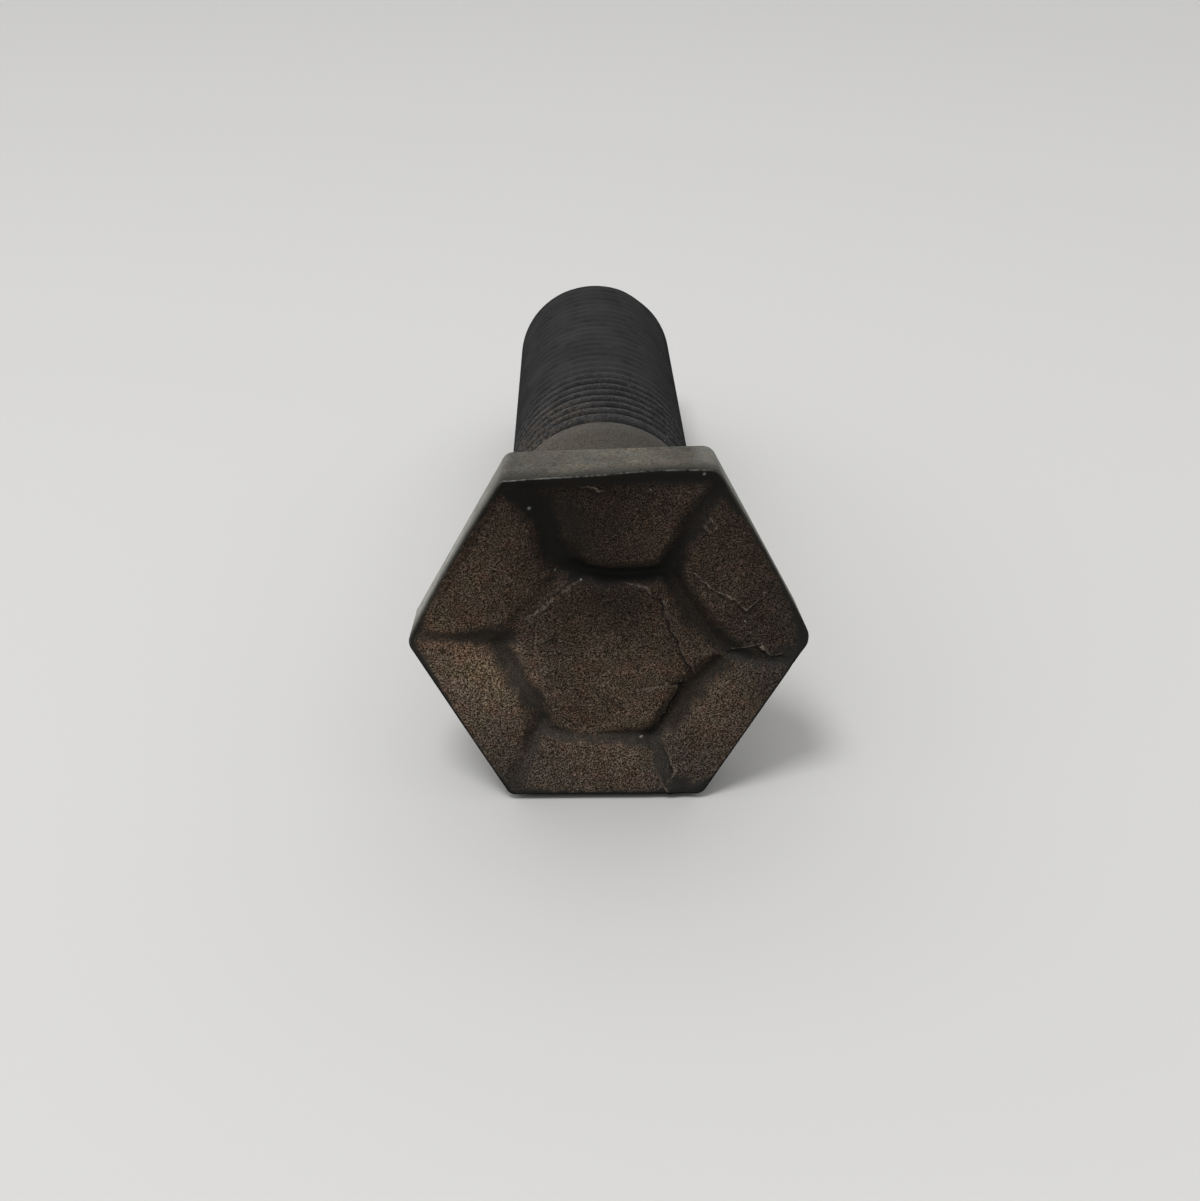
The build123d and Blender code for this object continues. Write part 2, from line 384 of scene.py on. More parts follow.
def deselect_all():
    if bpy.context.mode != "OBJECT":
        bpy.ops.object.mode_set(mode="OBJECT")
    bpy.ops.object.select_all(action="DESELECT")


def mount(name):
    return next(m for m in frame["record"]["mounts"] if m["name"] == name)


def bolt_place():
    """Where the bolt lies: z out of the face, y up the head, zero under the head."""
    to_tip = Vector(mount("shank")["axis"]).normalized()
    up = Vector(mount("wrench_flat")["axis"]).normalized()
    on_axis = Vector(mount("shank")["pos_m"])
    under_head = Vector(mount("bearing_face")["pos_m"])
    middle = on_axis + to_tip * (under_head - on_axis).dot(to_tip)
    side = up.cross(-to_tip)
    place = Matrix((side, up, -to_tip)).transposed().to_4x4()
    place.translation = middle
    return place


def smooth(low, high, value):
    """Rises softly from none at the low value to one at the high value."""
    t = np.clip((value - low) / (high - low), 0.0, 1.0)
    return t * t * (3 - 2 * t)


def grain(points, size, seed):
    """Noise from about minus one to one at each point, with features of the given size."""
    shift = Vector((seed, -seed, 2 * seed))
    return np.array([noise.noise(Vector(p) / size + shift) for p in points])


def waver(points, layers):
    """Layers of noise, each with its amount, size and seed."""
    return sum(amount * grain(points, size, seed) for amount, size, seed in layers)


def by_angle(angle, table, column):
    """A column of a table, blended by the angles in its first column."""
    return np.interp(angle, [row[0] for row in table], [row[column] for row in table])


def hex_reach(x, y):
    """Half the width across flats of the hexagon that passes through each point."""
    return np.max([x * cos(a) + y * sin(a) for a in FACINGS], axis=0)


def along_path(x, y, path):
    """Distance to a path, the side of it each point is on, and the path's values there."""
    best = np.full(x.shape, np.inf)
    side = np.zeros(x.shape)
    values = np.zeros((len(path[0]) - 2,) + x.shape)
    for start, end in zip(path, path[1:]):
        run = np.array(end[:2]) - np.array(start[:2])
        t = np.clip(((x - start[0]) * run[0] + (y - start[1]) * run[1]) / (run @ run), 0, 1)
        dx, dy = x - (start[0] + t * run[0]), y - (start[1] + t * run[1])
        away = np.hypot(dx, dy)
        nearer = away < best
        best = np.where(nearer, away, best)
        side = np.where(nearer, np.sign(run[0] * dy - run[1] * dx), side)
        for k, row in enumerate(values):
            row[:] = np.where(nearer, start[k + 2] + t * (end[k + 2] - start[k + 2]), row)
    return best, side, values


def spread(x, y, spots, reach):
    """A value at each point, blended from those of the spots around it."""
    weights = [np.exp(-((x - spot_x) ** 2 + (y - spot_y) ** 2) / reach**2) + 1e-12
               for spot_x, spot_y, _ in spots]
    return sum(w * value for w, (_, _, value) in zip(weights, spots)) / sum(weights)


def extrude_loop(drop=0.0, factor=1.0):
    """Extrudes the selected loop down, and scales the new one about the axis."""
    bpy.ops.mesh.extrude_edges_move(TRANSFORM_OT_translate={"value": (0, 0, -drop)})
    if abs(factor - 1) > 1e-9:
        bpy.ops.transform.resize(value=(factor, factor, 1), center_override=(0, 0, 0))


def step_down_rows(rows, start, outer):
    """Extrudes the selected loop through rows of (inset, height)."""
    inset, height = start
    for next_inset, next_height in rows:
        extrude_loop(height - next_height, (outer - next_inset) / (outer - inset))
        inset, height = next_inset, next_height


def select_edges(bolt, test):
    """Selects the edges whose two ends pass a test together."""
    bpy.ops.mesh.select_all(action="DESELECT")
    bpy.ops.object.mode_set(mode="OBJECT")
    points = bolt.data.vertices
    for edge in bolt.data.edges:
        edge.select = test(*(points[end].co for end in edge.vertices))
    bpy.ops.object.mode_set(mode="EDIT")


def blank_head(head):
    """The hexagon's finely cut face and its flats, down to a flat ring under the head."""
    outer, rim, edge = head.across_flats / 2, head.rim_radius, head.edge_radius
    deselect_all()
    bpy.ops.mesh.primitive_circle_add(
        vertices=SIDES, radius=(outer - rim) / cos(SIXTH / 2), fill_type="TRIFAN",
        location=(0, 0, 0))
    bolt = bpy.context.active_object
    bolt.name = bolt.data.name = "forged_bolt"
    bpy.ops.object.mode_set(mode="EDIT")
    bpy.ops.mesh.select_all(action="SELECT")
    bpy.ops.transform.rotate(value=SIXTH / 2, orient_axis="Z", center_override=(0, 0, 0))
    bpy.ops.transform.translate(value=(0, 0, head.height))
    bpy.ops.mesh.subdivide(number_cuts=head.face_cuts)
    bpy.ops.mesh.select_mode(type="EDGE")
    bpy.ops.mesh.select_all(action="DESELECT")
    bpy.ops.mesh.select_non_manifold()
    upright = head.height - rim - edge
    rows = [(rim * (1 - sin(a)), head.height - rim * (1 - cos(a))) for a in QUARTER_ROUND]
    rows += [(0.0, head.height - rim - upright * (k + 1) / FLAT_ROWS) for k in range(FLAT_ROWS)]
    rows += [(edge * (1 - cos(a)), edge * (1 - sin(a))) for a in QUARTER_ROUND]
    rows += [(edge + MARGIN, 0.0)]
    step_down_rows(rows, (rim, head.height), outer)
    return bolt


def blank_neck(bolt, shank):
    """The underside of the head, bridged from hexagon to circle, the neck and its fillet."""
    fillet = shank.neck_fillet
    ring = shank.neck_diameter / 2 + fillet + MARGIN
    bpy.ops.mesh.primitive_circle_add(
        vertices=shank.sides, radius=ring, fill_type="NOTHING", location=(0, 0, 0))
    bpy.ops.mesh.select_all(action="DESELECT")
    bpy.ops.mesh.select_non_manifold()
    bpy.ops.mesh.bridge_edge_loops()
    select_edges(bolt, lambda a, b: (
        max(a.z, b.z) < SLACK and max(a.xy.length, b.xy.length) < ring + MARGIN))
    straight = shank.neck_length - fillet
    rows = [(MARGIN + fillet * sin(a), -fillet * (1 - cos(a))) for a in [0.0] + QUARTER_ROUND]
    rows += [(MARGIN + fillet, -fillet - straight * (k + 1) / NECK_ROWS) for k in range(NECK_ROWS)]
    step_down_rows(rows, (0.0, 0.0), ring)


def blank_thread(bolt, shank):
    """The round threaded length, in rows fine enough to cut the thread, and the flat tip."""
    threaded = shank.length - shank.neck_length
    count = round(threaded / shank.thread_pitch * shank.rows_per_pitch)
    bands = -(-count // MOST_CUTS)
    for _ in range(bands):
        extrude_loop(threaded / bands)
    select_edges(bolt, lambda a, b: (
        abs(a.z - b.z) > SLACK and max(a.z, b.z) < SLACK - shank.neck_length))
    bpy.ops.mesh.subdivide(number_cuts=count // bands)
    select_edges(bolt, lambda a, b: max(a.z, b.z) < SLACK - shank.length)
    for rings_left in (3, 2, 1):
        extrude_loop(factor=rings_left / (rings_left + 1))
    extrude_loop()
    bpy.ops.mesh.merge(type="CENTER")


def blank(head, shank):
    """The whole bolt as rows of plain faces."""
    bolt = blank_head(head)
    blank_neck(bolt, shank)
    blank_thread(bolt, shank)
    bpy.ops.mesh.select_all(action="SELECT")
    bpy.ops.mesh.normals_make_consistent(inside=False)
    bpy.ops.object.mode_set(mode="OBJECT")
    return bolt


def read_points(bolt):
    points = np.zeros(len(bolt.data.vertices) * 3)
    bolt.data.vertices.foreach_get("co", points)
    return points.reshape(-1, 3)


def write_points(bolt, points):
    bolt.data.vertices.foreach_set("co", points.ravel())
    bolt.data.update()


def rounded_distance(reach, off, radius):
    """Distance from the axis to a hexagon with rounded corners, at angles off a corner."""
    half = SIXTH / 2
    centre = (reach - radius) / cos(half)
    inside = np.maximum(radius**2 - (centre * np.sin(off)) ** 2, 0)
    arc = centre * np.cos(off) + np.sqrt(inside)
    straight = reach / np.cos(half - np.abs(off))
    arc_end = np.arctan2(radius * sin(half), centre + radius * cos(half))
    on_arc = (inside > 0) & (np.abs(off) < arc_end)
    return np.where(on_arc, np.minimum(arc, straight), straight)


def round_hexagon(x, y, z, head):
    """Rounds the six corners and puts each corner a little off its place, as forged."""
    reach = hex_reach(x, y)
    angle = np.arctan2(y, x)
    full = head.across_flats / 2
    corners = np.array(CORNERS)
    front = np.clip(z / head.height, 0, 1)
    nearest = np.round(angle / SIXTH).astype(int) % SIDES
    rounder = corners[nearest, 4] * front + corners[nearest, 5] * (1 - front)
    radius = head.corner_radius * rounder * smooth(0.8 * full, full, reach) + 1e-9
    off = (angle + SIXTH / 2) % SIXTH - SIXTH / 2
    distance = rounded_distance(reach, off, radius)
    old = np.hypot(x, y) + 1e-12
    x, y = x * distance / old, y * distance / old
    side = np.floor(angle / SIXTH).astype(int) % SIDES
    off_place = (corners[:, None, 0:2] * front[:, None]
                 + corners[:, None, 2:4] * (1 - front)[:, None])
    every = np.arange(len(x))
    start, end = off_place[side, every] * MM, off_place[(side + 1) % SIDES, every] * MM
    share = 0.5 + np.tan((angle % SIXTH) - SIXTH / 2) / (2 * tan(SIXTH / 2))
    bow = np.array(BOWS)[side] * MM * 4 * share * (1 - share) * front
    weight = (reach / full) ** 2
    x = x + weight * (start[:, 0] * (1 - share) + end[:, 0] * share + bow * np.cos(FACINGS[side]))
    y = y + weight * (start[:, 1] * (1 - share) + end[:, 1] * share + bow * np.sin(FACINGS[side]))
    return x, y


def dish_fall(x, y, points, head):
    """How far down its pad each point is, from none at the rim to one at the foot, and its gap
    to the rim."""
    half = head.across_flats / 2 / MM
    fall = np.ones(x.shape)
    rim_gap = np.full(x.shape, np.inf)
    sway = waver(points, PAD_SWAY)
    for k, facing in enumerate(FACINGS):
        gap = np.maximum(half - (x * cos(facing) + y * sin(facing)), 0)
        (ax, ay), (bx, by) = PAD_CORNERS[k], PAD_CORNERS[(k + 1) % SIDES]
        length = np.hypot(bx - ax, by - ay)
        out = ((by - ay) * (x - ax) - (bx - ax) * (y - ay)) / length + sway
        slope = np.where(out > 0, gap / (gap + np.maximum(out, 1e-6)), 1.0)
        fall = np.minimum(fall, slope)
        rim_gap = np.minimum(rim_gap, gap)
    return fall, rim_gap


def dish_height(angle, fall, rim_gap, head):
    """Height of the plain dish: its pads, the step down to the floor, and the uneven rim."""
    depth = head.dish_depth / MM
    height = -PAD_SHARE * depth * fall**head.pad_bulge
    height -= STEP_SHARE * depth * smooth(0.8, 1.0, fall)
    height += by_angle(angle, RIM, 1) * (1 - fall) ** 1.5
    upper = smooth(-0.2, 0.7, np.sin(np.radians(angle)))
    inside_rim = smooth(0.05, 0.75, rim_gap)
    height -= upper * head.rim_drop / MM * inside_rim * (1 - fall)
    return height


def cut_valleys(x, y, points, calm, black):
    """Depth of the valleys, with how calm and how black the face is in and around them."""
    cut = np.zeros(x.shape)
    sway = waver(points, VALLEY_SWAY)
    for path in VALLEYS.values():
        away, _, (width, deep, dark, even) = along_path(x, y, path)
        hollow = (1 - np.clip(away / (width * 1.25), 0, 1) ** 2) ** 2
        cut = np.maximum(cut, deep * hollow)
        valley = even * (1 - smooth(0.35 * width, 1.15 * width, away + sway))
        black = np.where(valley > calm, dark, black)
        calm = np.maximum(calm, valley)
    return cut, calm, black


def raise_folds(x, y, points, height):
    """Adds the folds to the height. Gives the distance to the nearest, its step, which sets its
    painted foot shadow, and its shine, which sets its painted lip highlight.
    """
    fold, step, shine = np.ones(x.shape), np.zeros(x.shape), np.zeros(x.shape)
    sway = waver(points, FOLD_SWAY)
    for path in FOLDS.values():
        away, side, (tall, bright) = along_path(x, y, path)
        signed = away * side + sway
        near = 1 - smooth(0.25, 1.3, away)
        height += tall * near * (smooth(-0.1, 0.06, signed) - 0.5)
        signed = np.where(away < FOLD_REACH, signed, 1.0)
        height += 0.3 * tall * (1 - smooth(0.05, 0.16, np.abs(signed)))
        nearer = np.abs(signed) < np.abs(fold)
        step = np.where(nearer, np.clip(tall / TALL_FOLD, 0, 1), step)
        shine = np.where(nearer, bright, shine)
        fold = np.where(nearer, signed, fold)
    return fold, step, shine


def burr_share(angle, rim_gap):
    """Where the burr stands along the upper edge of the face, from none to a little over one."""
    at_edge = 1 - smooth(0.0, BURR_WIDTH, rim_gap)
    burr = at_edge * smooth(*BURR_STARTS, angle) * (1 - smooth(*BURR_ENDS, angle))
    return burr * (0.6 + 0.7 * smooth(*BURR_THICKENS, angle))


def speck_share(x, y):
    """Where the bright specks are: each is one at the point nearest to its place."""
    speck = np.zeros(x.shape)
    for spot_x, spot_y, size in SPECKS:
        away = np.hypot(x - spot_x, y - spot_y)
        speck = np.maximum(speck, np.clip(1 - (away - away.min()) / size, 0, 1))
    return speck


def face_relief(x, y, head):
    """Height over the flat face in millimetres, and how much of each finish shows."""
    points = np.column_stack([x, y, np.zeros_like(x)])
    angle = np.degrees(np.arctan2(y, x))
    fall, rim_gap = dish_fall(x, y, points, head)
    height = dish_height(angle, fall, rim_gap, head)
    width, black = (by_angle(angle, BORDERS, column) for column in (1, 2))
    calm = 1 - smooth(0.4, 1.0, (rim_gap + waver(points, BORDER_SWAY)) / width)
    cut, calm, black = cut_valleys(x, y, points, calm, black)
    height -= cut
    fold, step, shine = raise_folds(x, y, points, height)
    scale = head.scale_height / MM
    height += scale * (1 - calm) * waver(points, SCALE_GRAIN)
    height += 2.2 * scale * grain(points, 1.6, 2.0) * smooth(0, 0.3, fall)
    burr = burr_share(angle, rim_gap)
    height += BURR_HEIGHT * burr
    # Of these layers the tone is painted light and shade, the black partly painted shade, the step
    # and shine set painted shadows and highlights at the folds, and the burr a painted highlight.
    return height, {
        "calm": calm, "black": black, "fold": fold, "step": step, "shine": shine, "burr": burr,
        "tone": spread(x, y, PAINTED_LIGHT_AND_SHADE, PAINTED_LIGHT_REACH), "grey": spread(x, y, GREYS, GREY_REACH),
        "speck": speck_share(x, y)}


def thread_cut(x, y, z, shank):
    """How deep the thread cuts at each point, from none to one, and the turns down to it."""
    turns = (-z - shank.neck_length) / shank.thread_pitch
    phase = (turns + np.arctan2(y, x) / (2 * pi)) % 1.0
    ridge = np.abs(phase - 0.5) * 2
    filled = smooth(*GROOVES_FILL, turns)
    uneven = 1 + waver(np.column_stack([x, y, z]) / MM, THREAD_SWAY) * (1 - filled)
    groove = smooth(0.2 + 0.15 * filled, 0.9, ridge) * uneven
    groove = groove * smooth(*GROOVES_BEGIN, turns) * (1 - FILLED_SHARE * filled)
    first = FIRST_GROOVE_DEPTH * smooth(*FIRST_GROOVE_RISES, turns)
    first = first * (1 - smooth(*FIRST_GROOVE_FADES, turns))
    return np.maximum(groove, first), turns


def turn_shank(z, radius, cut, shank):
    """New radius of each point of the shank, and which points are on its threaded wall. The wall
    is cut and chamfered, the tip is flat and the neck stays plain."""
    crest = shank.thread_diameter / 2
    threaded = z < -shank.neck_length + SLACK
    wall = threaded & (radius > shank.neck_diameter * 0.49)
    in_tip = np.maximum(shank.end_chamfer - shank.length - z, 0)
    cut_wall = np.minimum(crest - cut * shank.thread_depth, crest - in_tip)
    flat_tip = radius * (crest - shank.end_chamfer) / (shank.neck_diameter / 2)
    return np.where(wall, cut_wall, np.where(threaded, flat_tip, radius)), wall


def mark_sides(bolt, points, head):
    """How much painted sheen and painted light and shade the sides of the head get, both fading
    towards the face.
    """
    x, y, z = points.T
    angle = np.degrees(np.arctan2(y, x))
    near_face = np.clip(z / head.height, 0, 1)
    outside = smooth(0.97, 0.985, hex_reach(x, y) / (head.across_flats / 2))
    for column, name, inner, fade, start in ((1, "painted_sheen", 0.0, 0.85, 0.3),
                                             (2, "painted_side_light", 0.5, 0.72, 0.6)):
        shown = by_angle(angle, SIDE_PAINTED_LIGHT, column) * outside + inner * (1 - outside)
        add_layer(bolt, name, shown * (1 - fade * smooth(start, 1.0, near_face)))


def mark_shank(bolt, x, cut, turns, shank):
    """Where the shank is cut, plain, dusty and gritty, and where a painted highlight marks the end
    of its neck.
    """
    neck = 1 - smooth(-0.02, 0.02, turns)
    left = smooth(-0.3, 0.7, -x / (shank.neck_diameter / 2))
    add_layer(bolt, "cut", cut)
    add_layer(bolt, "neck", neck)
    add_layer(bolt, "dusty", left * (1 - smooth(*DUST_ENDS, turns)) * (turns > DUST_STARTS))
    add_layer(bolt, "painted_neck_highlight", smooth(-0.3, -0.08, turns) * neck)
    add_layer(bolt, "gritty", 1 - smooth(*GRIT_ENDS, turns))


def add_layer(bolt, name, values):
    layer = bolt.data.attributes.new(name, "FLOAT", "POINT")
    layer.data.foreach_set("value", values.astype(np.float32))


def shape(bolt, head, shank):
    """Presses the dish into the face, rounds the hexagon, cuts the thread and marks the looks."""
    points = read_points(bolt)
    x, y, z = points.T.copy()
    radius = np.hypot(x, y)
    under_head = (np.abs(z) < SLACK) & (radius < head.across_flats * 0.4)
    on_head = (z > -SLACK) & ~under_head
    face = on_head & (z > head.height - SLACK)
    x[on_head], y[on_head] = round_hexagon(x[on_head], y[on_head], z[on_head], head)
    relief, masks = face_relief(points[on_head, 0] / MM, points[on_head, 1] / MM, head)
    below_face = np.maximum(head.height - z[on_head], 0) / MM
    masks["burr"] *= 1 - smooth(0.0, 0.09, below_face)
    share = np.clip(z[on_head] / head.height, 0, 1) ** 2
    z[on_head] += np.where(face[on_head], relief, relief * share) * MM
    cut, turns = thread_cut(x, y, z, shank)
    turned, wall = turn_shank(z, radius, cut, shank)
    grow = np.where(z < -SLACK, turned / np.maximum(radius, 1e-9), 1.0)
    x, y = x * grow, y * grow
    write_points(bolt, np.column_stack([x, y, z]))
    for name, values in masks.items():
        layer = np.full(len(z), 1.0 if name == "fold" else 0.0)
        layer[on_head] = values
        add_layer(bolt, name, layer)
    add_layer(bolt, "pressed", face.astype(float))
    mark_sides(bolt, points, head)
    mark_shank(bolt, x, np.where(wall, cut, 0.0), turns, shank)


def new_material(name):
    made = bpy.data.materials.new(name)
    made.use_nodes = True
    tree = made.node_tree
    return made, tree, tree.nodes["Principled BSDF"]


def plug(tree, socket, value):
    """Sets a socket to a value, or links another node's output to it."""
    if isinstance(value, bpy.types.NodeSocket):
        tree.links.new(value, socket)
    else:
        socket.default_value = value


def speckle(tree, size, detail, low, high, share=1.0):
    """Noise with features of a size in millimetres, as a value from none to a share."""
    place = tree.nodes.new("ShaderNodeTexCoord")
    texture = tree.nodes.new("ShaderNodeTexNoise")
    texture.inputs["Scale"].default_value = 1 / (size * MM)
    texture.inputs["Detail"].default_value = detail
    texture.inputs["Roughness"].default_value = 0.6
    tree.links.new(place.outputs["Object"], texture.inputs["Vector"])
    contrast = tree.nodes.new("ShaderNodeMapRange")
    contrast.inputs["From Min"].default_value = low
    contrast.inputs["From Max"].default_value = high
    contrast.inputs["To Max"].default_value = share
    tree.links.new(texture.outputs["Fac"], contrast.inputs["Value"])
    return contrast.outputs["Result"]


def mask(tree, name):
    """One of the layers that the shaping leaves on the bolt."""
    node = tree.nodes.new("ShaderNodeAttribute")
    node.attribute_name = name
    return node.outputs["Fac"]


def math_node(tree, operation, first, second=0.0, clamp=False):
    node = tree.nodes.new("ShaderNodeMath")
    node.operation = operation
    node.use_clamp = clamp
    plug(tree, node.inputs[0], first)
    plug(tree, node.inputs[1], second)
    return node.outputs[0]


def times(tree, first, second, clamp=True):
    """One value times another, kept between none and one unless told otherwise."""
    return math_node(tree, "MULTIPLY", first, second, clamp)


def plus(tree, first, second):
    return math_node(tree, "ADD", first, second)


def minus(tree, first, second):
    return math_node(tree, "SUBTRACT", first, second)


def blend(tree, share, first, second):
    """Mixes two colours, or two values, by a share."""
    mix = tree.nodes.new("ShaderNodeMix")
    mix.data_type = "RGBA"
    plug(tree, mix.inputs[0], share)
    for socket, value in ((mix.inputs[6], first), (mix.inputs[7], second)):
        if not isinstance(value, bpy.types.NodeSocket):
            value = (*value, 1.0) if hasattr(value, "__len__") else (value, value, value, 1.0)
        plug(tree, socket, value)
    return mix.outputs[2]


def toned(tree, colour, tone):
    """A colour times a tone."""
    node = tree.nodes.new("ShaderNodeVectorMath")
    node.operation = "SCALE"
    plug(tree, node.inputs[0], colour)
    plug(tree, node.inputs["Scale"], tone)
    return node.outputs[0]


def tinted(tree, share, colour, tint):
    """A colour, blended by a share into itself times a tint."""
    node = tree.nodes.new("ShaderNodeVectorMath")
    node.operation = "MULTIPLY"
    plug(tree, node.inputs[0], colour)
    node.inputs[1].default_value = tint
    return blend(tree, share, colour, node.outputs[0])


def scaled(colour, factor):
    return [channel * factor for channel in colour]


def surface(tree, shader, colour, roughness, gloss):
    for name, value in (("Base Color", colour), ("Roughness", roughness),
                        ("Specular IOR Level", gloss)):
        plug(tree, shader.inputs[name], value)


def bump(tree, shader, height, strength, distance):
    node = tree.nodes.new("ShaderNodeBump")
    plug(tree, node.inputs["Strength"], strength)
    node.inputs["Distance"].default_value = distance
    tree.links.new(height, node.inputs["Height"])
    tree.links.new(node.outputs["Normal"], shader.inputs["Normal"])


def rust_colour(tree, finish, fine):
    """Speckled rust with red and green patches, times the painted light and shade over the face."""
    flakes = speckle(tree, 0.22, 1.0, 0.35, 0.65, 0.35)
    flecks = speckle(tree, 0.6, 3.0, 0.3, 0.7, 0.3)
    patches = speckle(tree, 1.6, 3.0, 0.35, 0.65)
    uneven = plus(tree, plus(tree, flakes, flecks), times(tree, patches, 0.25))
    uneven = plus(tree, uneven, 0.55)
    rust = times(tree, math_node(tree, "POWER", fine, 1.25, clamp=True), uneven)
    colour = blend(tree, rust, finish.rust_dark, finish.rust_light)
    sparks = times(tree, speckle(tree, 0.1, 1.0, 0.6, 0.7), patches)
    colour = blend(tree, times(tree, sparks, 0.45), colour, finish.fold)
    colour = tinted(tree, speckle(tree, 0.9, 3.0, 0.46, 0.64, 0.6), colour, REDDER)
    colour = tinted(tree, speckle(tree, 1.3, 2.0, 0.5, 0.65, 0.4), colour, GREENER)
    # Times the painted light and shade over the face.
    return toned(tree, colour, mask(tree, "tone"))


def folded(tree, finish, colour):
    """A colour with painted shadow at the feet of the folds and painted highlights on their lips.
    """
    fold = mask(tree, "fold")
    beside_foot = math_node(tree, "ABSOLUTE", plus(tree, fold, 0.13))
    foot_shadow = times(tree, minus(tree, 0.11, beside_foot), 12.0)
    foot_shadow = times(tree, foot_shadow, speckle(tree, 0.8, 2.0, 0.35, 0.5))
    foot_shadow = times(tree, foot_shadow, mask(tree, "step"))
    colour = blend(tree, foot_shadow, colour, finish.valley)
    ragged = speckle(tree, 0.12, 2.0, 0.3, 0.7, 0.12)
    lip_highlight = times(tree, minus(tree, ragged, math_node(tree, "ABSOLUTE", fold)), 30.0)
    lip_highlight = times(tree, lip_highlight, speckle(tree, 0.7, 2.0, 0.38, 0.52))
    lip_highlight = times(tree, lip_highlight, mask(tree, "shine"))
    return blend(tree, lip_highlight, colour, finish.fold)


def painted_burr_highlight(tree, finish, colour):
    """A colour with a painted highlight along the burr."""
    burr = times(tree, mask(tree, "burr"), speckle(tree, 0.3, 2.0, 0.35, 0.6))
    return blend(tree, burr, colour, finish.edge)


def rusty_scale(finish):
    """Rough brown forging scale, smooth and black in the valleys partly as painted shade, under
    painted light and shade, with painted shadows and highlights at the folds and the burr.
    """
    made, tree, shader = new_material("rusty_scale")
    fine = speckle(tree, 0.08, 0.8, 0.36, 0.68)
    calm = mask(tree, "calm")
    # The black is partly dark smooth scale and partly painted shade in the valleys and under the
    # upper rim.
    smooth_steel = blend(tree, mask(tree, "black"), finish.calm, finish.valley)
    colour = blend(tree, calm, rust_colour(tree, finish, fine), smooth_steel)
    colour = tinted(tree, mask(tree, "grey"), colour, GREYER)
    colour = painted_burr_highlight(tree, finish, folded(tree, finish, colour))
    speck = math_node(tree, "POWER", mask(tree, "speck"), 2.5, clamp=True)
    colour = blend(tree, speck, colour, SPECK_COLOUR)
    surface(tree, shader, colour, blend(tree, calm, 0.8, 0.55), blend(tree, calm, 0.16, 0.1))
    bump(tree, shader, fine, minus(tree, 1.0, times(tree, calm, 0.85)), 0.06 * MM)
    return made


def flats_with_painted_sheen(finish):
    """Grey-brown sides of the head, with painted light and shade by side and a painted sheen,
    strongest on the upper left.
    """
    made, tree, shader = new_material("flats_with_painted_sheen")
    fine = speckle(tree, 0.12, 3.0, 0.35, 0.65)
    broad = speckle(tree, 1.4, 4.0, 0.35, 0.65)
    colour = blend(tree, broad, scaled(finish.flats, 0.6), scaled(finish.flats, 1.15))
    colour = toned(tree, colour, plus(tree, 0.6, times(tree, fine, 0.7)))
    colour = tinted(tree, speckle(tree, 1.1, 3.0, 0.45, 0.6, 0.8), colour, COOLER)
    colour = tinted(tree, speckle(tree, 0.5, 3.0, 0.55, 0.65, 0.5), colour, STAINED)
    pits = speckle(tree, 0.22, 2.0, 0.56, 0.66, 0.6)
    colour = blend(tree, pits, colour, finish.rust_dark)
    # Painted light and shade by side, then a painted sheen, strongest on the upper left.
    colour = toned(tree, colour, mask(tree, "painted_side_light"))
    painted_sheen = times(tree, mask(tree, "painted_sheen"), speckle(tree, 0.8, 3.0, 0.2, 0.55))
    colour = blend(tree, painted_sheen, colour, finish.edge)
    colour = painted_burr_highlight(tree, finish, colour)
    surface(tree, shader, colour, blend(tree, broad, 0.5, 0.6), 0.04)
    bump(tree, shader, fine, 0.5, 0.03 * MM)
    return made


def thread_colour(tree, finish, fine, broad, gritty):
    """Near black steel with darker marks, and lighter grit near the neck."""
    colour = blend(tree, broad, scaled(finish.thread, 0.85), scaled(finish.thread, 1.15))
    marks = speckle(tree, 1.2, 3.0, 0.55, 0.7, 0.25)
    colour = blend(tree, marks, colour, finish.valley)
    grit = times(tree, times(tree, fine, gritty), speckle(tree, 0.7, 3.0, 0.3, 0.6))
    return blend(tree, times(tree, grit, 0.6), colour, scaled(finish.thread, 3))


def neck_colour(tree, finish, fine, broad):
    """Speckled grey-brown steel, with a painted highlight in a band at the neck's end."""
    colour = blend(tree, broad, scaled(finish.neck, 0.8), finish.neck)
    colour = blend(tree, times(tree, fine, 0.9), colour, scaled(finish.neck, 2.2))
    return toned(tree, colour, plus(tree, mask(tree, "painted_neck_highlight"), 1.0))


def blacked_steel(finish):
    """Dark shank: lighter neck with a painted highlight at its end, and near black thread, its
    roots darker near the neck and lighter with painted light further on, with dust on the left near
    the neck.
    """
    made, tree, shader = new_material("blacked_steel")
    fine = speckle(tree, 0.13, 2.0, 0.38, 0.62)
    broad = speckle(tree, 3.0, 3.0, 0.3, 0.7)
    neck, cut, gritty = (mask(tree, name) for name in ("neck", "cut", "gritty"))
    thread = thread_colour(tree, finish, fine, broad, gritty)
    colour = blend(tree, neck, thread, neck_colour(tree, finish, fine, broad))
    # Painted light in the far grooves, against their shade.
    filled = times(tree, cut, minus(tree, 1.0, gritty))
    colour = toned(tree, colour, plus(tree, 1.0, times(tree, filled, 1.5)))
    # Roots darker near the neck.
    roots = times(tree, times(tree, times(tree, cut, 2.0), 0.95), gritty)
    colour = blend(tree, roots, colour, finish.valley)
    patchy = times(tree, speckle(tree, 0.9, 2.0, 0.35, 0.6), speckle(tree, 0.2, 3.0, 0.45, 0.6))
    dust = times(tree, times(tree, mask(tree, "dusty"), 0.6), patchy)
    colour = blend(tree, dust, colour, finish.dust)
    specks = speckle(tree, 0.45, 1.5, 0.76, 0.8, 0.6)
    colour = blend(tree, specks, colour, finish.edge)
    surface(tree, shader, colour, blend(tree, fine, 0.5, 0.65), blend(tree, neck, 0.0, 0.01))
    bump(tree, shader, fine, blend(tree, neck, 0.1, 0.4), 0.02 * MM)
    return made


